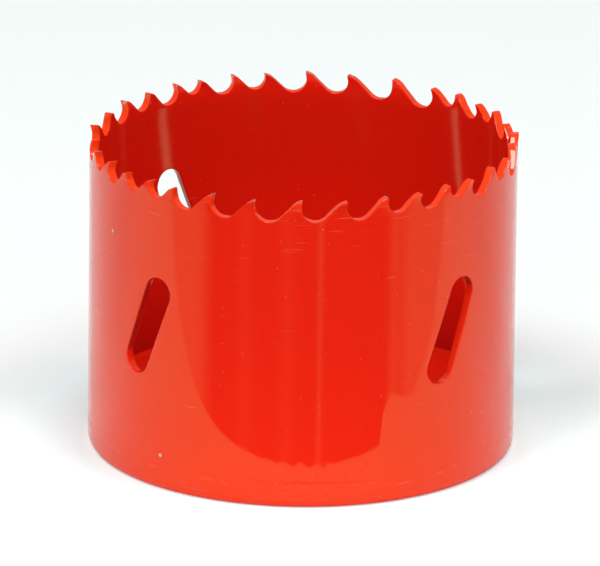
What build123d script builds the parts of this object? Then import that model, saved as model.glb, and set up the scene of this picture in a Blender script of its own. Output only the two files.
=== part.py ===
"""Bi-metal hole saw, standing on its end plate with its teeth up.

Millimetres. The saw's axis is Z and the end plate's outer face is z = 0.
Azimuths are measured from +X, anticlockwise seen from the teeth, and the
teeth point that way too.
"""

import os
from itertools import accumulate
from math import atan2, cos, degrees, radians, sin

from build123d import *

os.makedirs("parts", exist_ok=True)

# Driving dimensions of the cup
body_radius = 28.1
wall = 1.1
saw_height = 41.9
inner_radius = body_radius - wall

# End plate: a turned disc whose spigot fits inside the wall. Two chamfers,
# a flat one below a steep one, break its outer rim.
shoulder_height = 2.95
floor_height = 5.6
rim_inset = 1.0
rim_break_inset = 0.3
rim_break_height = 0.4
rim_height = 1.2

# Arbor fittings in the end plate: a 5/8-18 thread and round drive pin holes
thread_core_radius = 7.25
thread_chamfer = 0.8
pin_hole_radius = 3.55
pin_circle_radius = 13.5
pin_hole_count = 4
pin_hole_first = 45

# The toothed band, welded to the wall below its gullets
band_height = 3.6
band_bottom = saw_height - band_height

# Tip to tip spacing in order round the band. It varies between about four and
# six teeth to the inch, so that the saw does not chatter.
pitches = (
    5.7, 4.7, 5.1, 4.0, 6.0, 4.4, 6.5, 4.8, 3.8, 5.6, 3.8, 5.1,
    4.1, 6.6, 6.4, 5.8, 5.7, 4.5, 5.1, 3.7, 5.4, 4.8, 5.7, 5.7,
    6.4, 5.0, 4.7, 5.1, 4.4, 4.4, 5.7, 6.0, 6.2, 5.9,
)  # fmt: skip
first_tip = -78.1

# Tooth form, as shares of the pitch that it belongs to
gullet_depth_share = 0.46
gullet_radius_share = 0.31
land_rounding_share = 0.1
land_drop_share = 0.045
rake = radians(10)
back_slope = radians(44)

# Set: every second tooth leans out and the others lean in
tooth_set = 0.3
bend_below_tips = 1.3
bend_height = saw_height - bend_below_tips
clear = 1.0

# Chip slots through the wall: one size and slant, each with its azimuth and middle height
slot_width = 4.2
slot_centres = 10.35
slot_slant = 21.7
slots = ((-135.9, 22.1), (-46.1, 22.1), (36.4, 20.6), (127.3, 23.5))


def wall_plane(azimuth):
    """The plane through the axis that faces outward, its x anticlockwise and its y up."""
    turn = radians(azimuth)
    return Plane(origin=(0, 0, 0), x_dir=(-sin(turn), cos(turn), 0), z_dir=(cos(turn), sin(turn), 0))


def gullet_outline(azimuth, pitch):
    """One gullet, drawn midway between the tip that it undercuts and the next tip."""
    depth = gullet_depth_share * pitch
    radius = gullet_radius_share * pitch
    tip = Vector(-pitch / 2, saw_height)
    next_tip = Vector(pitch / 2, saw_height)
    rake_line = Vector(sin(rake), cos(rake))
    slope_line = Vector(cos(back_slope), sin(back_slope))

    # The gullet's arc is tangent to the rake face and to the next tooth's back
    centre_drop = radius - depth
    centre = tip + Vector((radius + centre_drop * sin(rake)) / cos(rake), centre_drop)
    rake_end = centre - radius * Vector(cos(rake), -sin(rake))
    bottom = centre - Vector(0, radius)
    slope_start = centre + radius * Vector(sin(back_slope), -cos(back_slope))

    # The back meets the land in a rounded heel
    heel_z = saw_height - land_drop_share * pitch
    heel = slope_start + slope_line * ((heel_z - slope_start.Y) / slope_line.Y)
    land_line = (next_tip - heel).normalized()
    rounding = land_rounding_share * pitch
    slope_end = heel - rounding * slope_line
    land_start = heel + rounding * land_line
    land_end = next_tip + clear * land_line
    with BuildSketch(wall_plane(azimuth)) as outline:
        with BuildLine():
            Line(tip + rake_line * (clear / rake_line.Y), rake_end)
            ThreePointArc(rake_end, bottom, slope_start)
            Line(slope_start, slope_end)
            TangentArc(slope_end, land_start, tangent=slope_line)
            Line(land_start, land_end)
            Line(land_end, (land_end.X, saw_height + clear))
            Line((land_end.X, saw_height + clear), tip + rake_line * (clear / rake_line.Y))
        make_face()
    return outline.sketch


turns = [360 * length / sum(pitches) for length in pitches]
tips = [first_tip + turn for turn in accumulate([0] + turns[:-1])]
gullets = [gullet_outline(tip + turn / 2, pitch) for tip, turn, pitch in zip(tips, turns, pitches)]


def set_teeth(lean):
    """Every tooth above the bend, leaning out by the given amount at its tip."""
    with BuildPart() as teeth:
        with BuildSketch(Plane.XZ):
            with BuildLine():
                Polyline(
                    (inner_radius, bend_height),
                    (body_radius, bend_height),
                    (body_radius + lean, saw_height),
                    (inner_radius + lean, saw_height),
                    close=True,
                )
            make_face()
        revolve(axis=Axis.Z)
        for gullet in gullets:
            extrude(gullet, amount=body_radius + 2, mode=Mode.SUBTRACT)
    return teeth.part.solids()


def turn_from_first(tooth):
    """How far round the band a tooth lies, in degrees from just before the first tip."""
    middle = tooth.center()
    return (degrees(atan2(middle.Y, middle.X)) - first_tip + turns[-1] / 2) % 360


# End plate: disc with a chamfered rim, spigot, thread core and drive pin holes
with BuildPart() as end_plate:
    with BuildSketch(Plane.XZ):
        with BuildLine():
            Polyline(
                (0, 0),
                (body_radius - rim_inset, 0),
                (body_radius - rim_break_inset, rim_break_height),
                (body_radius, rim_height),
                (body_radius, shoulder_height),
                (inner_radius, shoulder_height),
                (inner_radius, floor_height),
                (0, floor_height),
                close=True,
            )
        make_face()
    revolve(axis=Axis.Z)
    with BuildSketch(Plane.XY):
        Circle(thread_core_radius)
        with PolarLocations(pin_circle_radius, pin_hole_count, start_angle=pin_hole_first):
            Circle(pin_hole_radius)
    extrude(amount=floor_height, mode=Mode.SUBTRACT)
    thread_ends = end_plate.edges().filter_by(GeomType.CIRCLE).filter_by(
        lambda edge: abs(edge.radius - thread_core_radius) < 0.01
    )
    chamfer(thread_ends, thread_chamfer)
end_plate.part.label = "end_plate"

# Rolled wall, standing on the end plate's shoulder, with its slanted chip slots
with BuildPart() as saw_body:
    with BuildSketch(Plane.XY.offset(shoulder_height)):
        Circle(body_radius)
        Circle(inner_radius, mode=Mode.SUBTRACT)
    extrude(amount=band_bottom - shoulder_height)
    for azimuth, height in slots:
        with BuildSketch(wall_plane(azimuth)):
            with Locations((0, height)):
                SlotCenterToCenter(slot_centres, slot_width, rotation=90 - slot_slant)
        extrude(amount=body_radius + 2, mode=Mode.SUBTRACT)
saw_body.part.label = "saw_body"

# Toothed band: gullets cut through a ring, with the bent teeth standing on it
with BuildPart() as cutting_edge:
    with BuildSketch(Plane.XY.offset(band_bottom)):
        Circle(body_radius)
        Circle(inner_radius, mode=Mode.SUBTRACT)
    extrude(amount=bend_height - band_bottom)
    for gullet in gullets:
        extrude(gullet, amount=body_radius + 2, mode=Mode.SUBTRACT)
    add(sorted(set_teeth(tooth_set), key=turn_from_first)[::2])
    add(sorted(set_teeth(-tooth_set), key=turn_from_first)[1::2])
cutting_edge.part.label = "cutting_edge"

export_step(end_plate.part, "parts/end_plate.step")
export_step(saw_body.part, "parts/saw_body.step")
export_step(cutting_edge.part, "parts/cutting_edge.step")
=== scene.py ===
import math

import bmesh
import bpy
import numpy as np
from mathutils import Matrix, Vector


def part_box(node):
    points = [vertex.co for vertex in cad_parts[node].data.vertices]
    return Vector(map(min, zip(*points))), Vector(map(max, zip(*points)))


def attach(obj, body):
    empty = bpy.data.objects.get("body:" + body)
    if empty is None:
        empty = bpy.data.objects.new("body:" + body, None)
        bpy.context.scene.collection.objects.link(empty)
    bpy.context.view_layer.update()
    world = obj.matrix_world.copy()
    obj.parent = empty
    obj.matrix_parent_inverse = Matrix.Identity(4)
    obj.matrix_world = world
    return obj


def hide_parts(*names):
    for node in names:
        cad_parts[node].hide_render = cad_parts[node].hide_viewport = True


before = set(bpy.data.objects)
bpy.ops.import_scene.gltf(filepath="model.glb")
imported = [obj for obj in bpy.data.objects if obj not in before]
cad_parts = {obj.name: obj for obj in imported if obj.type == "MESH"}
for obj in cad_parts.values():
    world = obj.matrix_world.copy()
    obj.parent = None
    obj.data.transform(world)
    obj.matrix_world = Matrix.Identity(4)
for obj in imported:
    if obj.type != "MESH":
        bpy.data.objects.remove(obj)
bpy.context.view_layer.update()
print("frame loaded")

# Sizes in metres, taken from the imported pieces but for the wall's thickness
mm = 0.001
bodyLow, bodyHigh = (np.array(corner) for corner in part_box("saw_body"))
bodyRadius = bodyHigh[0]
wall = 1.1 * mm
shoulderHeight = bodyLow[2]
bandBottom = bodyHigh[2]
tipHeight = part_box("cutting_edge")[1][2]
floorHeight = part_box("end_plate")[1][2]
rim = 2 * math.pi * bodyRadius
weldReach = 0.002 * mm  # points closer than this are made one
sharpFrom = math.radians(40)


def quads(rows, columns, closed=False):
    # The four corners of every cell of a grid of points, row by row
    across = columns if closed else columns - 1
    row, column = np.meshgrid(np.arange(rows - 1), np.arange(across), indexing="ij")
    right = (column + 1) % columns
    below, above = row * columns, (row + 1) * columns
    cell = [below + column, below + right, above + right, above + column]
    return np.stack(cell, -1).reshape(-1, 4)


def joinGrids(grids):
    # Each grid is (points, wear and shade, closed): points by row and column, how worn the enamel is there
    # and, on some faces, painted light (below 0, painted shade instead), and whether the last column meets
    # the first
    points, faces, wearAndShade, count = [], [], [], 0
    for grid, edgeWear, closed in grids:
        rows, columns = grid.shape[:2]
        points.append(grid.reshape(-1, 3))
        wearAndShade.append(np.broadcast_to(edgeWear, (rows, columns)).reshape(-1))
        faces.append(quads(rows, columns, closed) + count)
        count += rows * columns
    return np.concatenate(points), np.concatenate(faces), np.concatenate(wearAndShade)


def addPiece(name, grids, material, slotName, *nodes):
    # One closed, smooth mesh from grids whose borders meet, standing for the named nodes
    points, faces, wearAndShade = joinGrids(grids)
    mesh = bpy.data.meshes.new(name)
    mesh.from_pydata(points, [], faces)
    mesh.attributes.new("wearAndShade", "FLOAT", "POINT").data.foreach_set("value", wearAndShade.astype(np.float32))
    work = bmesh.new()
    work.from_mesh(mesh)
    bmesh.ops.remove_doubles(work, verts=work.verts, dist=weldReach)
    bmesh.ops.recalc_face_normals(work, faces=work.faces)
    openEdges = sum(1 for edge in work.edges if not edge.is_manifold)
    work.to_mesh(mesh)
    work.free()
    mesh.polygons.foreach_set("use_smooth", np.ones(len(mesh.polygons), bool))
    mesh.set_sharp_from_angle(angle=sharpFrom)
    mesh.materials.append(material)
    piece = bpy.data.objects.new(name, mesh)
    bpy.context.scene.collection.objects.link(piece)
    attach(piece, "root")
    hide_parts(*nodes)
    print(name, len(mesh.polygons), "faces,", openEdges, "open edges")


def wallPoints(along, height, depth, lean=0.0):
    # A point of the rolled wall: distance round its outside, height, depth below the outside, lean outwards
    turn = along / bodyRadius
    radius = bodyRadius - depth + lean
    return np.stack(np.broadcast_arrays(radius * np.cos(turn), radius * np.sin(turn), height), -1)


def roundedEdge(rounding, thickness, steps=4):
    # A cut edge from face to face: how far in from the edge, and how deep, with both corners rounded
    turn = np.linspace(0, math.pi / 2, steps + 1)
    inset = rounding * (1 - np.sin(turn))
    depth = rounding * (1 - np.cos(turn))
    return np.concatenate([inset, inset[::-1]]), np.concatenate([depth, thickness - depth[::-1]])


def linearColour(code):
    # An sRGB hex colour as linear light, opaque
    part = np.array([int(code[i:i + 2], 16) for i in (0, 2, 4)]) / 255
    light = np.where(part <= 0.04045, part / 12.92, ((part + 0.055) / 1.055) ** 2.4)
    return (*light.tolist(), 1.0)


def addNode(tree, kind, inputs=None, **settings):
    # One shader node with its settings; an input is a value, a socket, or a node whose first output feeds it
    node = tree.nodes.new("ShaderNode" + kind)
    for name, value in settings.items():
        setattr(node, name, value)
    for name, value in (inputs or {}).items():
        if isinstance(value, bpy.types.Node):
            value = value.outputs[0]
        if isinstance(value, bpy.types.NodeSocket):
            tree.links.new(value, node.inputs[name])
        else:
            node.inputs[name].default_value = value
    return node


# Red gloss enamel, sprayed over steel: a wet-looking skin that softens every edge,
# chipped to the grey metal where an edge has been knocked, with dust caught in it
enamel = {
    "red": "e6210f",
    # The orange below is thin enamel over edges and partly a painted highlight; the dark red after it is
    # painted shade
    "thinAndLitRed": "f53a12",
    "paintedShadeRed": "760012",
    "steel": "b4b6a8",
    "dust": "e9c8b8",
    "grime": "5a1410",
    "roughness": 0.05,
    "shadeRoughness": 0.1,
    "steelRoughness": 0.35,
    "ior": 1.5,
    "glossTint": (1.0, 1.0, 0.35, 1.0),
    "peelSize": 1.6 * mm,
    "peelDepth": 0.0012 * mm,
    "chipSize": 0.9 * mm,
    "chipFade": 0.03,
    "knockSpacing": 9 * mm,
    "knockSize": 0.012,
    "knockRagged": 0.03,
    "speckSize": 0.9 * mm,
    "speckReach": 0.1,
    "paleAbove": 0.8,
    "darkBelow": 0.16,
    "scratchLength": 7 * mm,
    "scratchWidth": 0.3 * mm,
    "scratchFrom": 0.7,
    "scratchFull": 0.8,
    "scuffing": 0.12,
    "scuffedMost": 0.3,
    # The wear at which the skin starts to thin to orange (partly a painted highlight) and at which painted
    # shade starts, and at which each is full
    "thinAndLitFrom": 0.4,
    "thinAndLitFull": 0.7,
    "shadeFrom": -0.12,
    "shadeFull": -1.0,
    # How much of each colour covers the red at most
    "shadeCover": 0.9,
    "scratchCover": 0.15,
    "dustCover": 0.17,
    "grimeCover": 0.3,
}


def enamelPaint(name, chipLevel):
    # The same enamel for every piece; the higher the level, the fewer the chips at its edges
    material = bpy.data.materials.new(name)
    material.use_nodes = True
    tree = material.node_tree
    tree.nodes.clear()
    place = addNode(tree, "TexCoord").outputs["Object"]

    # Orange peel: a shallow, even ripple left by the spray
    peel = addNode(tree, "TexNoise", {"Vector": place, "Scale": 1 / enamel["peelSize"], "Detail": 1.0})
    bump = addNode(tree, "Bump", {"Height": peel, "Distance": enamel["peelDepth"], "Strength": 1.0})

    # Chips: noise that only breaks through where the wear attribute says an edge is near
    chipNoise = addNode(tree, "TexNoise", {"Vector": place, "Scale": 1 / enamel["chipSize"], "Detail": 3.0})
    wearAndShade = addNode(tree, "Attribute", attribute_name="wearAndShade")
    worn = addNode(tree, "Math", {0: chipNoise, 1: wearAndShade.outputs["Fac"]}, operation="MULTIPLY")
    chip = addNode(
        tree, "MapRange",
        {"Value": worn, "From Min": chipLevel, "From Max": chipLevel + enamel["chipFade"]},
    )

    # and a few knocks right through the skin, anywhere
    knocks = addNode(tree, "TexVoronoi", {"Vector": place, "Scale": 1 / enamel["knockSpacing"]})
    ragged = addNode(
        tree, "Math", {0: chipNoise, 1: -enamel["knockRagged"], 2: knocks.outputs["Distance"]},
        operation="MULTIPLY_ADD",
    )
    knock = addNode(tree, "Math", {0: ragged, 1: enamel["knockSize"]}, operation="LESS_THAN")
    bare = addNode(tree, "Math", {0: chip, 1: knock}, operation="MAXIMUM")

    # Dust and grime: small pale and dark specks at the middles of scattered cells
    cells = addNode(tree, "TexVoronoi", {"Vector": place, "Scale": 1 / enamel["speckSize"]})
    fromMiddle, cellColour = cells.outputs["Distance"], cells.outputs["Color"]
    near = addNode(tree, "Math", {0: fromMiddle, 1: enamel["speckReach"]}, operation="LESS_THAN")
    pale = addNode(tree, "Math", {0: cellColour, 1: enamel["paleAbove"]}, operation="GREATER_THAN")
    dark = addNode(tree, "Math", {0: cellColour, 1: enamel["darkBelow"]}, operation="LESS_THAN")
    paleSpeck = addNode(tree, "Math", {0: pale, 1: near}, operation="MULTIPLY")
    darkSpeck = addNode(tree, "Math", {0: dark, 1: near}, operation="MULTIPLY")

    # Scratches: thin arcs round the saw, the way it turns, that rub the skin pale
    part = addNode(tree, "SeparateXYZ", {"Vector": place})
    turn = addNode(tree, "Math", {0: part.outputs["Y"], 1: part.outputs["X"]}, operation="ARCTAN2")
    perTurn, perHeight = bodyRadius / enamel["scratchLength"], 1 / enamel["scratchWidth"]
    along = addNode(tree, "Math", {0: turn, 1: perTurn}, operation="MULTIPLY")
    above = addNode(tree, "Math", {0: part.outputs["Z"], 1: perHeight}, operation="MULTIPLY")
    unrolled = addNode(tree, "CombineXYZ", {"X": along, "Y": above})
    streaks = addNode(tree, "TexNoise", {"Vector": unrolled, "Scale": 1.0, "Detail": 2.0})
    mild = addNode(tree, "Math", {0: wearAndShade.outputs["Fac"], 1: enamel["scuffedMost"]}, operation="MINIMUM")
    rubbed = addNode(
        tree, "Math", {0: mild, 1: enamel["scuffing"], 2: streaks},
        operation="MULTIPLY_ADD",
    )
    scratch = addNode(
        tree, "MapRange",
        {"Value": rubbed, "From Min": enamel["scratchFrom"], "From Max": enamel["scratchFull"]},
    )

    # The skin thins and turns orange where it runs over an edge: partly real thin enamel, partly a painted
    # highlight of lit edges, and on slot faces that look up painted light alone
    thinAndLit = addNode(
        tree, "MapRange",
        {"Value": wearAndShade.outputs["Fac"], "From Min": enamel["thinAndLitFrom"], "From Max": enamel["thinAndLitFull"]},
    )
    skin = addNode(
        tree, "Mix",
        {"Factor": thinAndLit, "A": linearColour(enamel["red"]), "B": linearColour(enamel["thinAndLitRed"])},
        data_type="RGBA",
    )
    # and it is darker where shade is painted, deep in the cup and on slot faces that look down, and duller on
    # inside faces
    paintedShade = addNode(
        tree, "MapRange",
        {"Value": wearAndShade.outputs["Fac"], "From Min": enamel["shadeFrom"], "From Max": enamel["shadeFull"]},
    )
    painted = skin.outputs["Result"]
    for share, colour, cover in (
        (paintedShade, "paintedShadeRed", "shadeCover"), (scratch, "dust", "scratchCover"),
        (paleSpeck, "dust", "dustCover"), (darkSpeck, "grime", "grimeCover"),
    ):
        amount = addNode(tree, "Math", {0: share, 1: enamel[cover]}, operation="MULTIPLY")
        painted = addNode(
            tree, "Mix",
            {"Factor": amount, "A": painted, "B": linearColour(enamel[colour])},
            data_type="RGBA",
        ).outputs["Result"]
    dull = addNode(
        tree, "MapRange",
        {"Value": wearAndShade.outputs["Fac"], "From Min": 0.0, "From Max": enamel["shadeFrom"],
         "To Min": enamel["roughness"], "To Max": enamel["shadeRoughness"]},
    )
    paint = addNode(
        tree, "BsdfPrincipled",
        {
            "Base Color": painted,
            "Roughness": dull,
            "IOR": enamel["ior"],
            "Specular Tint": enamel["glossTint"],
            "Normal": bump,
        },
    )
    steel = addNode(
        tree, "BsdfPrincipled",
        {"Base Color": linearColour(enamel["steel"]), "Metallic": 1.0, "Roughness": enamel["steelRoughness"]},
    )
    shown = addNode(tree, "MixShader", {0: bare, 1: paint, 2: steel})
    addNode(tree, "OutputMaterial", {"Surface": shown})
    return material


edgePaint = enamelPaint("red gloss enamel over high-speed steel", chipLevel=0.56)
bodyPaint = enamelPaint("red gloss enamel over spring steel", chipLevel=0.62)
platePaint = enamelPaint("red gloss enamel over turned steel", chipLevel=0.62)
print("materials made")


# The toothed band, its gullets and its bent teeth
band = {
    "pitches": [
        5.7, 4.7, 5.1, 4.0, 6.0, 4.4, 6.5, 4.8, 3.8, 5.6, 3.8, 5.1,
        4.1, 6.6, 6.4, 5.8, 5.7, 4.5, 5.1, 3.7, 5.4, 4.8, 5.7, 5.7,
        6.4, 5.0, 4.7, 5.1, 4.4, 4.4, 5.7, 6.0, 6.2, 5.9,
    ],
    "firstTip": math.radians(-78.1),
    "gulletDepth": 0.46,
    "gulletRadius": 0.31,
    "landRounding": 0.1,
    "landDrop": 0.045,
    "rake": math.radians(10),
    "backSlope": math.radians(44),
    "set": 0.3 * mm,
    "bendBelowTips": 1.3 * mm,
    "tipRounding": 0.16 * mm,
    "edgeRounding": 0.1 * mm,
    "jointGroove": 0.004 * mm,
    "jointWidth": 0.25 * mm,
    "jointProfile": [0.0, 0.4, 1.0],
    "bendCurve": 1.3,
    "bendMost": 1.2,
    # How worn the faces and the cut edge are, and how near to the tips it gets worse
    "faceWear": 0.3,
    "faceTipWear": 0.8,
    "insideWear": -0.12,
    "insideTipWear": 0.68,
    "faceWornBelow": 0.8 * mm,
    "cutWear": 0.72,
    "cutWornBelow": 1.2 * mm,
    "cutWornCurve": 1.5,
    # Steps along a tooth: those of its back (arc, line and heel) add up to those of its front
    # (tip, rake and arc), because its faces are ruled between the two
    "backArcSteps": 8,
    "backSteps": 5,
    "roundSteps": 5,
    "rakeSteps": 3,
    "rakeArcSteps": 10,
    "landSteps": 4,
    "flankRows": 5,
}


def bandOutline():
    # The rim of every tooth in order, as distance round and drop below the tips, tooth by tooth.
    # Each tooth runs from the bottom of the gullet behind it, up its back, over its land and tip,
    # and down its rake face to the bottom of the gullet ahead.
    pitch = np.array(band["pitches"])
    pitch = pitch * rim / pitch.sum()
    tip = np.cumsum(pitch) - pitch
    rake, slope = band["rake"], band["backSlope"]
    depth = band["gulletDepth"] * pitch
    radius = band["gulletRadius"] * pitch
    drop = radius - depth
    centre = np.stack([(radius + drop * math.sin(rake)) / math.cos(rake), drop], -1)
    slopeLine = np.array([math.cos(slope), math.sin(slope)])
    rakeLine = np.array([math.sin(rake), math.cos(rake)])
    slopeStart = centre + radius[:, None] * np.array([math.sin(slope), -math.cos(slope)])
    heel = slopeStart + slopeLine * ((-band["landDrop"] * pitch - slopeStart[:, 1]) / slopeLine[1])[:, None]
    landLine = np.stack([pitch, 0 * pitch], -1) - heel
    landLine /= np.linalg.norm(landLine, axis=1, keepdims=True)
    rounding = (band["landRounding"] * pitch)[:, None]

    def arc(start, end, steps):
        turn = np.radians(np.linspace(start, end, steps + 1))
        return centre[:, None] + radius[:, None, None] * np.stack([np.cos(turn), np.sin(turn)], -1)

    def line(start, end, steps):
        share = np.linspace(0, 1, steps + 1)[:, None]
        return start[:, None] * (1 - share) + end[:, None] * share

    def corner(start, middle, end, steps):
        # A rounded corner: the quadratic curve that leaves and meets its two lines in their own directions
        share = np.linspace(0, 1, steps + 1)[:, None]
        ends = start[:, None] * (1 - share) ** 2 + end[:, None] * share ** 2
        return ends + 2 * middle[:, None] * share * (1 - share)

    # The back of each tooth belongs to the gullet behind it, whose own tip is one pitch back
    back = np.concatenate([
        arc(-90, math.degrees(slope) - 90, band["backArcSteps"]),
        line(slopeStart, heel - rounding * slopeLine, band["backSteps"])[:, 1:],
        corner(heel - rounding * slopeLine, heel, heel + rounding * landLine, band["roundSteps"])[:, 1:],
    ], 1) - np.stack([pitch, 0 * pitch], -1)[:, None]
    back, landLine = np.roll(back, 1, 0), np.roll(landLine, 1, 0)
    zero = np.zeros((len(pitch), 2))
    landEnd = -band["tipRounding"] * landLine
    rakeStart = zero - band["tipRounding"] * rakeLine
    rakeArc = arc(180 - math.degrees(rake), 270, band["rakeArcSteps"])
    front = np.concatenate([
        corner(landEnd, zero, rakeStart, band["roundSteps"]),
        line(rakeStart, rakeArc[:, 0], band["rakeSteps"])[:, 1:],
        rakeArc[:, 1:],
    ], 1)
    land = line(back[:, -1], landEnd, band["landSteps"])[:, 1:-1]
    outline = np.concatenate([back, land, front[:, :-1]], 1)
    outline[..., 0] += tip[:, None]
    return outline


def bandGrids():
    # The outline carried through the wall's thickness, moved in by the edge's rounding near both faces,
    # with each point at its turn and height on the wall's round and leaning more the higher it is
    outline = bandOutline()
    teeth, perTooth = outline.shape[:2]
    loop = outline.reshape(-1, 2)
    step = np.roll(loop, -1, 0) - np.roll(loop, 1, 0)
    step[:, 0] = (step[:, 0] + rim / 2) % rim - rim / 2
    outward = np.stack([-step[:, 1], step[:, 0]], -1) / np.linalg.norm(step, axis=1, keepdims=True)
    side = np.repeat(np.where(np.arange(teeth) % 2 == 0, 1.0, -1.0), perTooth)
    start = band["firstTip"] * bodyRadius

    def bent(along, below, depth, whichSide):
        # Teeth lean from the bend upwards, slowly at first
        share = np.clip(1 + below / band["bendBelowTips"], 0, band["bendMost"])
        lean = whichSide * band["set"] * share ** band["bendCurve"]
        return wallPoints(start + along, tipHeight + below, depth, lean)

    def faceWear(below, inside):
        # The enamel of the faces is worn close to the tips only; the inside got a thinner coat
        plain = np.where(inside, band["insideWear"], band["faceWear"])
        atTip = np.where(inside, band["insideTipWear"], band["faceTipWear"])
        near = np.clip(1 + below / band["faceWornBelow"], 0, 1)
        return plain + (atTip - plain) * near ** 2

    # The cut edge right round, from the outside face to the inside face
    inset, depth = roundedEdge(band["edgeRounding"], wall)
    rows = loop[None] - outward[None] * inset[:, None, None]
    near = np.clip(1 + loop[:, 1] / band["cutWornBelow"], 0, 1) ** band["cutWornCurve"]
    cutWear = band["cutWear"] + (1 - band["cutWear"]) * near
    cut = np.minimum(depth, wall - depth)[:, None] / band["edgeRounding"]
    inside = (depth > wall / 2)[:, None]
    edgeWear = cut * cutWear + (1 - cut) * faceWear(loop[:, 1], inside)
    grids = [(bent(rows[..., 0], rows[..., 1], depth[:, None], side[None]), edgeWear, True)]

    # Each face of each tooth is ruled between its back and its rake face,
    # and below the gullets the face is ruled down to the weld
    inner = loop - outward * band["edgeRounding"]
    lifted = np.concatenate([inner, inner[:1] + np.array([rim, 0])])
    landSteps, flankRows, jointProfile = band["landSteps"], band["flankRows"], band["jointProfile"]
    flank = band["backArcSteps"] + band["backSteps"] + band["roundSteps"]
    share = np.linspace(0, 1, landSteps + 1)[:, None]
    bottom = bandBottom - tipHeight
    # Below the chord the rows go down to the weld, the last ones in its narrow groove
    above = bottom + band["jointWidth"] * np.linspace(1, 0, len(jointProfile))[:, None]
    drops = np.linspace(0, 1, flankRows)[:-1, None]
    groove = np.concatenate([np.zeros(flankRows - 1), jointProfile])[:, None]
    for tooth in range(teeth):
        first = tooth * perTooth
        left = lifted[first:first + flank + 1]
        right = lifted[first + perTooth - flank:first + perTooth + 1][::-1]
        face = left[:, None] * (1 - share) + right[:, None] * share
        face[-1] = lifted[first + flank:first + flank + landSteps + 1]
        chord = face[0]
        falling = chord[None, :, 1] * (1 - drops) + above[0] * drops
        below = np.concatenate([falling, np.repeat(above, landSteps + 1, 1)])
        sideSign = 1.0 if tooth % 2 == 0 else -1.0
        for faceDepth, inwards in ((0.0, 1), (wall, -1)):
            inside = faceDepth > 0
            points = bent(face[..., 0], face[..., 1], faceDepth, sideSign)
            grids.append((points, faceWear(face[..., 1], inside), False))
            depths = faceDepth + inwards * band["jointGroove"] * groove
            grids.append((bent(chord[None, :, 0], below, depths, 0.0), faceWear(below, inside), False))
        foot = np.array([[band["jointGroove"]], [wall - band["jointGroove"]]])
        grids.append((bent(chord[None, :, 0], bottom, foot, 0.0), band["faceWear"], False))
    return grids


addPiece("toothedBand", bandGrids(), edgePaint, "edge_paint", "cutting_edge")


# The rolled wall and its four chip slots
rolledWall = {
    "slotAzimuths": [-135.9, -46.1, 36.4, 127.3],
    "slotHeights": [22.1 * mm, 22.1 * mm, 20.6 * mm, 23.5 * mm],
    "slotWidth": 4.2 * mm,
    "slotCentres": 10.35 * mm,
    "slotSlant": math.radians(21.7),
    "patchMiddle": 22.1 * mm,
    "patchWidth": 13 * mm,
    "patchHeight": 19 * mm,
    "patchColumns": 32,
    "patchRows": 46,
    "patchSteps": 8,
    "patchCurve": 0.7,
    "gapColumns": 76,
    "lowRows": 33,
    "highRows": 6,
    "edgeRounding": 0.16 * mm,
    # Wear: scuffs under the teeth; and inside, painted shade that darkens towards the bottom of the cup
    "scuffed": 0.3,
    "scuffReach": 7 * mm,
    "insideShade": 0.12,
    "deepShade": 0.7,
    "shadeDeepensBelow": 18 * mm,
    # Painted light on slot cut faces that look up, and painted shade on those that look down, turning in with
    # the slope
    "cutPaintedLight": 0.75,
    "cutPaintedShade": -1.0,
    "cutTurning": 2.7,
    "rippleWaves": 14,
    "rippleSpread": (0.5, 1.6),
    "rippleMiddle": 5.3 * mm,
    "rippleHeight": 1.5 * mm,
    "rippleDepth": 0.009 * mm,
    "rippleLength": 2.2 * mm,
}


def slotEdge(direction):
    # Where a ray from the slot's middle meets its round-ended outline, and the outline's outward direction
    slant, half, reach = rolledWall["slotSlant"], rolledWall["slotWidth"] / 2, rolledWall["slotCentres"] / 2
    axis = np.array([math.sin(slant), math.cos(slant)])
    across = np.array([math.cos(slant), -math.sin(slant)])
    a, b = direction @ axis, direction @ across
    flat = half / np.maximum(np.abs(b), 1e-9)
    cap = reach * np.abs(a) + np.sqrt(np.maximum(half ** 2 - (reach * b) ** 2, 0))
    onFlat = np.abs(a) * flat < reach
    point = direction * np.where(onFlat, flat, cap)[:, None]
    capNormal = point - np.sign(a)[:, None] * reach * axis
    capNormal /= np.linalg.norm(capNormal, axis=1, keepdims=True)
    outward = np.where(onFlat[:, None], np.sign(b)[:, None] * across, capNormal)
    return point, outward


def weldRipple(along, height):
    # The wall a little puckered above the weld: waves of random direction and phase, faded out up and down
    random = np.random.default_rng(7)
    waves = []
    for _ in range(rolledWall["rippleWaves"]):
        spread = random.uniform(*rolledWall["rippleSpread"])
        around = round(rim / rolledWall["rippleLength"] * spread) / bodyRadius
        upward = random.uniform(-1, 1) * 2 * math.pi / rolledWall["rippleLength"]
        waves.append(np.cos(around * along + upward * height + random.uniform(0, 2 * math.pi)))
    fade = np.exp(-((height - rolledWall["rippleMiddle"]) / rolledWall["rippleHeight"]) ** 2)
    return rolledWall["rippleDepth"] * fade * (1 + sum(waves) / math.sqrt(len(waves)))


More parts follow.
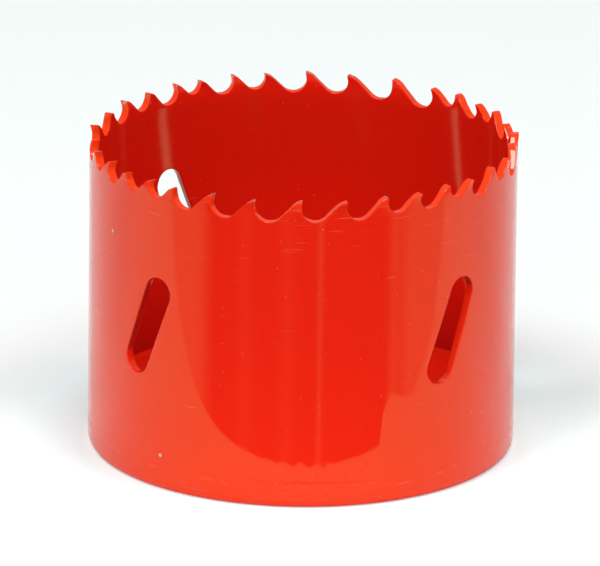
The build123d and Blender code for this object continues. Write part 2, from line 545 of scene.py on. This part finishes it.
def wallGrids():
    # Both faces of the wall are grids of distance round and height, laid on its round: bands above and
    # below the slots, a patch round each slot and a gap between two patches
    columns, rows = rolledWall["patchColumns"], rolledWall["patchRows"]
    halfWide, halfHigh = rolledWall["patchWidth"] / 2, rolledWall["patchHeight"] / 2
    middles = np.radians(rolledWall["slotAzimuths"]) * bodyRadius
    middleHeight = rolledWall["patchMiddle"]
    low, high = middleHeight - halfHigh, middleHeight + halfHigh
    patchX = np.linspace(-halfWide, halfWide, columns + 1)
    patchZ = np.linspace(-halfHigh, halfHigh, rows + 1)
    nextMiddles = np.append(middles[1:], middles[0] + rim)
    gaps = [
        np.linspace(start + halfWide, end - halfWide, rolledWall["gapColumns"] + 1)
        for start, end in zip(middles, nextMiddles)
    ]
    parts = [part for middle, gap in zip(middles, gaps) for part in (middle + patchX[:-1], gap[:-1])]
    around = np.concatenate(parts)
    lowRows = np.linspace(shoulderHeight, low, rolledWall["lowRows"])[:, None]
    lowDepths = (weldRipple(around[None], lowRows), wall)

    def coat(heights, depth):
        # Outside, scuffed under the teeth; inside, dull, with painted shade that darkens the deeper it is in
        # the cup
        underTeeth = np.clip(1 - (bandBottom - heights) / rolledWall["scuffReach"], 0, 1)
        deep = np.clip(1 - heights / rolledWall["shadeDeepensBelow"], 0, 1)
        paintedShade = rolledWall["insideShade"] + rolledWall["deepShade"] * deep
        return np.where(depth > 0, -paintedShade, rolledWall["scuffed"] * underTeeth)

    # Above the slots the rows rise to the band's weld, the last ones in its narrow groove
    joint, jointProfile = band["jointWidth"], band["jointProfile"]
    rising = np.linspace(high, bandBottom - joint, rolledWall["highRows"])[:-1]
    highRows = np.append(rising, bandBottom - joint * np.linspace(1, 0, len(jointProfile)))[:, None]
    groove = np.concatenate([np.zeros(len(rising)), jointProfile])[:, None]
    grids = []
    for depth, lowDepth, inwards in zip((0.0, wall), lowDepths, (1, -1)):
        topDepth = depth + inwards * band["jointGroove"] * groove
        grids.append((wallPoints(around[None], lowRows, lowDepth), coat(lowRows, depth), True))
        grids.append((wallPoints(around[None], highRows, topDepth), coat(highRows, depth), True))
        for gap in gaps:
            gapRows = middleHeight + patchZ[:, None]
            grids.append((wallPoints(gap[None], gapRows, depth), coat(gapRows, depth), False))
    through = np.stack([lowDepths[0][0], np.full(len(around), wall)])
    topThrough = np.array([[band["jointGroove"]], [wall - band["jointGroove"]]])
    grids.append((wallPoints(around[None], shoulderHeight, through), 0.0, True))
    grids.append((wallPoints(around[None], bandBottom, topThrough), 0.0, True))

    # Round each slot a patch is ruled from a rectangle in to the slot, through the wall, and out again
    border = np.concatenate([
        np.stack([patchX[:-1], np.full(columns, -halfHigh)], -1),
        np.stack([np.full(rows, halfWide), patchZ[:-1]], -1),
        np.stack([patchX[:0:-1], np.full(columns, halfHigh)], -1),
        np.stack([np.full(rows, -halfWide), patchZ[:0:-1]], -1),
    ])
    inset, depth = roundedEdge(rolledWall["edgeRounding"], wall)
    steps = rolledWall["patchSteps"]
    share = (np.linspace(0, 1, steps + 1) ** rolledWall["patchCurve"])[:-1, None, None]
    flat = np.zeros(steps)
    depths = np.concatenate([flat, depth, flat + wall])[:, None]
    cutFace = np.concatenate([flat, np.sqrt(np.sin(np.pi * depth / wall)), flat])[:, None]
    for middle, slotHeight in zip(middles, rolledWall["slotHeights"]):
        slotMiddle = np.array([0, slotHeight - middleHeight])
        ray = border - slotMiddle
        edge, outward = slotEdge(ray / np.linalg.norm(ray, axis=1, keepdims=True))
        rounded = slotMiddle + edge[None] + outward[None] * inset[:, None, None]
        outside = border[None] * (1 - share) + rounded[:1] * share
        patch = np.concatenate([outside, rounded, outside[::-1]])
        # The cut face gets a painted highlight where it looks up, and painted shade where it looks down
        level = np.where(outward[:, 1] < 0, rolledWall["cutPaintedLight"], rolledWall["cutPaintedShade"])
        paintedLightAndShade = level * np.minimum(1, np.abs(outward[:, 1]) * rolledWall["cutTurning"])
        wearAndShade = cutFace * paintedLightAndShade + (1 - cutFace) * coat(middleHeight + patch[..., 1], depths)
        grids.append((wallPoints(middle + patch[..., 0], middleHeight + patch[..., 1], depths), wearAndShade, True))
    return grids


addPiece("rolledWall", wallGrids(), bodyPaint, "body_paint", "saw_body")


# The end plate: rim, weld bead, floor, pin holes and arbor thread
plate = {
    "pinCircle": 13.5 * mm,
    "pinHole": 3.55 * mm,
    "pinAzimuths": [45, 135, 225, 315],
    "edgeRounding": 0.25 * mm,
    "patchInner": 9.1 * mm,
    "patchOuter": 18.2 * mm,
    "arcSteps": 80,
    "sideSteps": 18,
    "patchSteps": 5,
    "threadCore": 7.25 * mm,
    "threadRoot": 7.9 * mm,
    "threadPitch": 25.4 / 18 * mm,
    "threadChamfer": 0.8 * mm,
    "threadSteepness": 1.6,
    "threadCrest": 0.3,
    "boreWear": 0.3,
    "boreRows": 67,
    "rimInset": 1.0 * mm,
    "rimHeight": 1.2 * mm,
    "rimRows": 8,
    "fillet": 0.5 * mm,
    "filletUneven": 0.25,
    "filletBite": 1.02,
    # Inside the joint, where the plate meets the wall unseen
    "hiddenGap": 0.3 * mm,
    "hiddenLip": 0.9,
    "hiddenRise": 1.2 * mm,
    # The weld bead outside
    "beadHeight": 0.75 * mm,
    "beadHeightUneven": 0.35,
    "beadStand": 0.05 * mm,
    "beadStandUneven": 0.45,
    "beadWander": 0.12 * mm,
    "beadCurve": 1.5,
    "beadFlush": 0.01 * mm,
    "beadRows": 13,
    # The enamel over the bead: its plain wear, the most that the bare patches add, and the stroke they lie in
    "beadWear": 0.3,
    "beadBare": 0.55,
    "strokeWidth": 0.3,
    "strokeWander": 0.5,
}


def lumps(columns, longest, seed):
    # A closed run of smooth random lumps, -1 to 1 at most: waves from the longest length to a fifth of it,
    # with random phases, the shorter ones lower
    random = np.random.default_rng(seed)
    turn = np.linspace(0, 2 * math.pi, columns, endpoint=False)
    first = int(rim / longest)
    waves = np.arange(first, first * 5)
    height = (first / waves) ** 0.6 * random.normal(size=len(waves))
    phase = random.uniform(0, 6.28, len(waves))
    run = (height[:, None] * np.cos(waves[:, None] * turn + phase[:, None])).sum(0)
    return run / np.abs(run).max()


def plateGrids():
    # A profile of radius and height carried round the axis, with a quarter-ring patch round each pin hole
    columns = plate["arcSteps"] * len(plate["pinAzimuths"])
    turn = np.radians(plate["pinAzimuths"][0] - 45) + np.linspace(0, 2 * math.pi, columns, endpoint=False)
    ring = np.stack([np.cos(turn), np.sin(turn)], -1)

    def revolve(radius, height):
        # A profile carried round the axis: radius and height by row, and by column where they vary
        radius, height = np.broadcast_arrays(radius, height)
        radius = np.broadcast_to(radius, (len(radius), columns))
        height = np.broadcast_to(height, (len(height), columns))
        return np.stack([radius * ring[:, 0], radius * ring[:, 1], height], -1)

    def column(values):
        return np.array(values, float)[:, None]

    grids = []
    # Arbor hole: chamfer, right-hand thread and chamfer again, as one height by turn surface
    inner, chamfer = plate["patchInner"], plate["threadChamfer"]
    heights = np.linspace(floorHeight, 0, plate["boreRows"])[:, None]
    phase = (heights / plate["threadPitch"] - turn / (2 * math.pi)) % 1
    rise = plate["threadSteepness"] * (1 - np.abs(2 * phase - 1))
    groove = np.clip(rise - plate["threadCrest"], 0, 1)
    thread = plate["threadCore"] + (plate["threadRoot"] - plate["threadCore"]) * groove
    toEnd = np.minimum(heights, floorHeight - heights)
    flare = plate["threadCore"] + chamfer - toEnd
    bore = np.maximum(thread, flare)
    grids.append((revolve(bore, heights), plate["boreWear"], True))
    mouth = plate["threadCore"] + chamfer
    for height in (floorHeight, 0.0):
        grids.append((revolve(column([inner, (inner + mouth) / 2, mouth]), height), 0.0, True))

    # Each pin hole's patch is ruled from a quarter of the plate in to the hole, through it, and out again
    quarter, steps = plate["arcSteps"], plate["sideSteps"]
    outer = plate["patchOuter"]
    inset, depth = roundedEdge(plate["edgeRounding"], floorHeight)
    for index, azimuth in enumerate(plate["pinAzimuths"]):
        arc = turn[index * quarter] + np.linspace(0, math.pi / 2, quarter + 1)
        reach = np.linspace(inner, outer, steps + 1)
        border = np.concatenate([
            inner * np.stack([np.cos(arc[:-1]), np.sin(arc[:-1])], -1),
            reach[:-1, None] * np.array([math.cos(arc[-1]), math.sin(arc[-1])]),
            outer * np.stack([np.cos(arc[:0:-1]), np.sin(arc[:0:-1])], -1),
            reach[:0:-1, None] * np.array([math.cos(arc[0]), math.sin(arc[0])]),
        ])
        middle = math.radians(azimuth)
        centre = plate["pinCircle"] * np.array([math.cos(middle), math.sin(middle)])
        ray = border - centre
        ray /= np.linalg.norm(ray, axis=1, keepdims=True)
        rounded = centre + ray[None] * (plate["pinHole"] + inset)[:, None, None]
        share = np.linspace(0, 1, plate["patchSteps"] + 1)[:-1, None, None]
        face = border[None] * (1 - share) + rounded[:1] * share
        patch = np.concatenate([face, rounded, face[::-1]])
        flat = np.zeros(plate["patchSteps"])
        height = np.concatenate([flat + floorHeight, floorHeight - depth, flat])
        height = np.broadcast_to(height[:, None, None], patch.shape[:2] + (1,))
        grids.append((np.concatenate([patch, height], -1), 0.0, True))

    # Rim: floor, fillet of weld up the wall, the hidden spigot and shoulder, the bead outside,
    # and the rounded edge under it
    spigot = bodyRadius - wall
    filletTurn = np.linspace(0, math.pi / 2, 7)
    fillet = plate["fillet"] * (1 + plate["filletUneven"] * lumps(columns, 9 * mm, seed=3))
    floorRadius = np.concatenate([
        np.broadcast_to(column([outer, (outer + spigot) / 2]), (2, columns)),
        spigot - fillet + fillet * np.sin(filletTurn)[:, None] * plate["filletBite"],
    ])
    floorRise = np.concatenate([
        np.zeros((2, columns)),
        fillet * (1 - np.cos(filletTurn))[:, None],
    ])
    beadMiddle = shoulderHeight + plate["beadWander"] * lumps(columns, 12 * mm, seed=5)
    beadHigh = plate["beadHeight"] * (1 + plate["beadHeightUneven"] * lumps(columns, 6 * mm, seed=11))
    uneven = plate["beadStandUneven"]
    beadStand = plate["beadStand"] * (1 - uneven + uneven * lumps(columns, 4 * mm, seed=17))
    # across runs from 1 at the bead's upper edge, which lies a little under the wall's face, to -1
    across = np.linspace(1, -1, plate["beadRows"])[:, None]
    beadRadius = bodyRadius + beadStand * np.cos(across * math.pi / 2) ** plate["beadCurve"]
    beadRadius[0] -= plate["beadFlush"]
    beadHeights = beadMiddle + across * beadHigh
    rimRows, gap = plate["rimRows"], plate["hiddenGap"]
    rimTurn = np.linspace(0, math.pi / 2, rimRows)[:, None]
    rimRadius = bodyRadius - plate["rimInset"] * (1 - np.cos(rimTurn))
    rimHeight = plate["rimHeight"] * (1 - np.sin(rimTurn))
    radius = np.concatenate([
        floorRadius,
        np.broadcast_to(column([spigot + gap, spigot + gap, bodyRadius - gap]), (3, columns)),
        beadRadius,
        np.broadcast_to(rimRadius, (rimRows, columns)),
        np.broadcast_to(column([(outer + spigot) / 2, outer]), (2, columns)),
    ])
    height = np.concatenate([
        floorHeight + floorRise,
        floorHeight + fillet[None] * plate["hiddenLip"],
        np.broadcast_to(column([shoulderHeight + plate["hiddenRise"]]), (1, columns)),
        beadMiddle[None] + beadHigh[None],
        beadHeights,
        np.broadcast_to(rimHeight, (rimRows, columns)),
        np.zeros((2, columns)),
    ])
    # The enamel lies thin and blotchy over the bead
    stretches = np.clip(0.3 + 1.4 * lumps(columns, 30 * mm, seed=29), 0, 1)
    patches = stretches * np.clip(0.35 + lumps(columns, 5 * mm, seed=23), 0, 1)
    strokeMiddle = plate["strokeWander"] * lumps(columns, 11 * mm, seed=31)
    stroke = np.clip(1.3 - np.abs(across - strokeMiddle) / plate["strokeWidth"], 0, 1)
    fleck = plate["beadWear"] + plate["beadBare"] * patches * stroke
    beadRow = len(floorRadius) + 3  # after the floor's rows and the three hidden ones
    wearAndShade = np.zeros(radius.shape)
    wearAndShade[beadRow:beadRow + len(across)] = fleck
    grids.append((revolve(radius, height), wearAndShade, True))
    return grids


addPiece("turnedPlate", plateGrids(), platePaint, "plate_paint", "end_plate")


# Floor, lamps, sky and camera
studio = {
    "floorColour": "f5fbfa",
    "floorSize": 3.0,
    "tonedColour": "e4fbfb",
    "tonedReach": 30 * mm,
    # Painted light on the paper: an emission lifts it, more in front and most right round the saw's foot,
    # where it paints out the contact shadow
    "backLift": 0.07,
    "frontLift": 0.25,
    "liftFrom": 22 * mm,
    "liftTo": -3 * mm,
    "rimReach": 0.9 * mm,
    "rimLift": 1.4,
    "skyStrength": 0.38,
    "glintColour": (0.9, 0.9, 2.2),
    "lampDistance": 1.2,
    "lampAzimuth": math.radians(40),
    "lampLift": math.radians(58),
    "fanNear": 16.4 * mm,
    "fanFar": 400 * mm,
    "fanSlant": 0.058,
    "fanEdges": [-80, 82],
    "roomGlow": 0.06,
    "sideGlow": 0.75,
    "leftSide": (-47, -60),
    "rightSide": (47, 62),
    # Each strip of light: azimuth, width and strength
    "strips": [(-31, 4, 0.15), (-8, 4, 0.15), (9.5, 1.5, 0.5), (50, 3, 0.4)],
    # How much further out the mirrored card starts, by azimuth
    "fanSetBack": [(-90, 0), (43, 0), (45.5, 14 * mm), (50, 17 * mm), (56, 10 * mm), (62, 4 * mm)],
    "clothNear": 32 * mm,
    "clothEdges": [-55, 47],
    "softbox": (0.4, 0.4),
    "lampTarget": (0, 0, 0.02),
}
view = {
    "elevation": math.radians(18.6),
    "roll": math.radians(0.642),
    "distance": 1679 * mm,
    "target": (-0.29 * mm, 0.0, 21.54 * mm),
    "focalPixels": 12761,
    "framePixels": 600,
    "sensorWidth": 36,
    "clip": (0.05, 20),
}


def addFloor():
    # A flat square of paper, far larger than the view
    half = studio["floorSize"] / 2
    mesh = bpy.data.meshes.new("paper")
    corners = [(-half, -half, 0), (half, -half, 0), (half, half, 0), (-half, half, 0)]
    mesh.from_pydata(corners, [], [(0, 1, 2, 3)])
    floor = bpy.data.objects.new("paper", mesh)
    bpy.context.scene.collection.objects.link(floor)
    material = bpy.data.materials.new("matt white paper")
    material.use_nodes = True
    tree = material.node_tree
    tree.nodes.clear()
    # Near the saw the paper is toned against the red light that comes off it, for the camera alone
    place = addNode(tree, "TexCoord").outputs["Object"]
    reach = addNode(tree, "VectorMath", {0: place}, operation="LENGTH").outputs["Value"]
    far = addNode(
        tree, "MapRange",
        {"Value": reach, "From Min": bodyRadius, "From Max": bodyRadius + studio["tonedReach"]},
        interpolation_type="SMOOTHERSTEP",
    )
    plainColour, tonedColour = linearColour(studio["floorColour"]), linearColour(studio["tonedColour"])
    toned = addNode(tree, "Mix", {"Factor": far, "A": tonedColour, "B": plainColour}, data_type="RGBA")
    path = addNode(tree, "LightPath")
    seen = addNode(
        tree, "Mix",
        {"Factor": path.outputs["Is Camera Ray"], "A": plainColour, "B": toned.outputs["Result"]},
        data_type="RGBA",
    )
    matt = addNode(tree, "BsdfDiffuse", {"Color": seen.outputs["Result"]})
    # Painted light: an emission lifts it towards white, most in its front half. Close round the saw the
    # camera sees the lift stronger, painting out the contact shadow at the saw's foot, and the gloss mirrors
    # it fading out
    along = addNode(tree, "SeparateXYZ", {"Vector": place})
    front = addNode(
        tree, "MapRange",
        {"Value": along.outputs["Y"], "From Min": studio["liftFrom"], "From Max": studio["liftTo"],
         "To Min": studio["backLift"], "To Max": studio["frontLift"]},
        interpolation_type="SMOOTHSTEP",
    )
    rimShare = {"Value": reach, "From Min": bodyRadius, "From Max": bodyRadius + studio["rimReach"]}
    toCamera = addNode(tree, "MapRange", {**rimShare, "To Min": studio["rimLift"], "To Max": 1.0})
    toGloss = addNode(tree, "MapRange", rimShare)
    shares = [
        addNode(tree, "Math", {0: path.outputs[ray], 1: share}, operation="MULTIPLY")
        for ray, share in (("Is Camera Ray", toCamera), ("Is Glossy Ray", toGloss))
    ]
    shown = addNode(tree, "Math", {0: shares[0], 1: shares[1]})
    lift = addNode(tree, "Math", {0: shown, 1: front}, operation="MULTIPLY")
    glow = addNode(tree, "Emission", {"Color": (1, 1, 1, 1), "Strength": lift})
    paper = addNode(tree, "AddShader", {0: matt, 1: glow})
    addNode(tree, "OutputMaterial", {"Surface": paper})
    mesh.materials.append(material)


def roomGlow(azimuth):
    # What the gloss mirrors: a dim room, a white side left and right that fades in as a smooth step,
    # and a few strips of light that each fall off as a bell curve
    glow = studio["roomGlow"]
    for start, full in (studio["leftSide"], studio["rightSide"]):
        share = np.clip((azimuth - start) / (full - start), 0, 1)
        glow += studio["sideGlow"] * share * share * (3 - 2 * share)
    for middle, width, strength in studio["strips"]:
        glow += strength * math.exp(-((azimuth - middle) / width) ** 2)
    return glow


def addFan(name, near, glow, height, glossOnly):
    # A fan of card on the floor in front of the saw, out of the camera's sight. Its glow is given at azimuths
    # from straight ahead, and each of its lines starts where the wall would mirror that azimuth.
    points = []
    for azimuth, _ in glow:
        turn = math.radians(azimuth)
        setBack = np.interp(azimuth, *zip(*studio["fanSetBack"]))
        foot = bodyRadius * np.array([math.sin(turn / 2), -math.cos(turn / 2)])
        line = np.array([math.sin(turn), -math.cos(turn)])
        edge = near + bodyRadius - studio["fanSlant"] * foot[0] + foot[1]
        start = max(edge / (studio["fanSlant"] * line[0] - line[1]), 0) + setBack
        points += [(*(foot + line * start), height), (*(foot + line * studio["fanFar"]), height)]
    faces = [(2 * i, 2 * i + 1, 2 * i + 3, 2 * i + 2) for i in range(len(glow) - 1)]
    mesh = bpy.data.meshes.new(name)
    mesh.from_pydata(points, [], faces)
    strengths = np.repeat([strength for _, strength in glow], 2)
    mesh.attributes.new("glow", "FLOAT", "POINT").data.foreach_set("value", strengths)
    material = bpy.data.materials.new(name)
    material.use_nodes = True
    tree = material.node_tree
    tree.nodes.clear()
    light = addNode(tree, "Attribute", attribute_name="glow")
    shine = addNode(tree, "Emission", {"Color": (1, 1, 1, 1), "Strength": light.outputs["Fac"]})
    addNode(tree, "OutputMaterial", {"Surface": shine})
    mesh.materials.append(material)
    card = bpy.data.objects.new(name, mesh)
    bpy.context.scene.collection.objects.link(card)
    card.visible_camera = False
    card.visible_shadow = False
    card.visible_transmission = False
    card.visible_diffuse = not glossOnly
    card.visible_glossy = glossOnly


def addLamp(name, position, size, watts, glints=False):
    # A lamp gives either light or glints, never both
    light = bpy.data.lights.new(name, "AREA")
    light.shape = "RECTANGLE"
    light.size, light.size_y = size
    light.energy = watts
    lamp = bpy.data.objects.new(name, light)
    lamp.location = position
    aim = Vector(studio["lampTarget"]) - Vector(position)
    lamp.rotation_euler = aim.to_track_quat("-Z", "Y").to_euler()
    lamp.visible_glossy = glints
    lamp.visible_diffuse = not glints
    if glints:
        light.color = studio["glintColour"]
    bpy.context.scene.collection.objects.link(lamp)


def addSky():
    world = bpy.data.worlds.new("white tent")
    world.use_nodes = True
    tree = world.node_tree
    tree.nodes.clear()
    background = addNode(tree, "Background", {"Color": (1, 1, 1, 1), "Strength": studio["skyStrength"]})
    addNode(tree, "OutputWorld", {"Surface": background})
    bpy.context.scene.world = world


def addCamera():
    # The camera looks down at the saw from a long way off, turned a little about its own line of sight
    lift, roll = view["elevation"], view["roll"]
    ahead = Vector((0, math.cos(lift), -math.sin(lift)))
    across = Vector((1, 0, 0))
    above = Vector((0, math.sin(lift), math.cos(lift)))
    right = across * math.cos(roll) + above * math.sin(roll)
    up = above * math.cos(roll) - across * math.sin(roll)
    camera = bpy.data.objects.new("camera", bpy.data.cameras.new("camera"))
    camera.data.sensor_width = view["sensorWidth"]
    camera.data.lens = view["sensorWidth"] * view["focalPixels"] / view["framePixels"]
    camera.data.clip_start, camera.data.clip_end = view["clip"]
    place = Matrix((right, up, -ahead)).transposed().to_4x4()
    place.translation = Vector(view["target"]) - ahead * view["distance"]
    camera.matrix_world = place
    bpy.context.scene.collection.objects.link(camera)
    bpy.context.scene.camera = camera


addFloor()
# The gloss mirrors a dim room between white sides, as enamel in a small light tent does, and the dark
# cloth beyond the paper keeps light off the wall's upper part
fanStart, fanEnd = studio["fanEdges"]
room = [(azimuth, roomGlow(azimuth)) for azimuth in range(fanStart, fanEnd + 1)]
cloth = [(azimuth, 0.0) for azimuth in studio["clothEdges"]]
addFan("mirrored room", studio["fanNear"], room, height=0.1 * mm, glossOnly=True)
addFan("dark cloth", studio["clothNear"], cloth, height=0.2 * mm, glossOnly=False)
addSky()
lampReach = studio["lampDistance"] * math.cos(studio["lampLift"])
lampHeight = studio["lampDistance"] * math.sin(studio["lampLift"])
lampAside = lampReach * math.sin(studio["lampAzimuth"])
lampAhead = lampReach * math.cos(studio["lampAzimuth"])
addLamp("left softbox", (-lampAside, -lampAhead, lampHeight), studio["softbox"], watts=4.4)
addLamp("right softbox", (lampAside, -lampAhead, lampHeight), studio["softbox"], watts=3.0)
addLamp("overhead lamp", (0.05, 0.0, 0.65), (0.13, 0.13), watts=0.8)
addLamp("glint lamp", (0.0, -0.18, 0.62), (0.2, 0.2), watts=1.8, glints=True)
addLamp("front softbox", (0.0, -0.98, 0.69), studio["softbox"], watts=1.0)
addLamp("low front card", (0.0, -1.0, 0.045), (1.3, 0.07), watts=3.8)
addCamera()
bpy.context.scene.view_settings.view_transform = "Standard"
print("studio set")
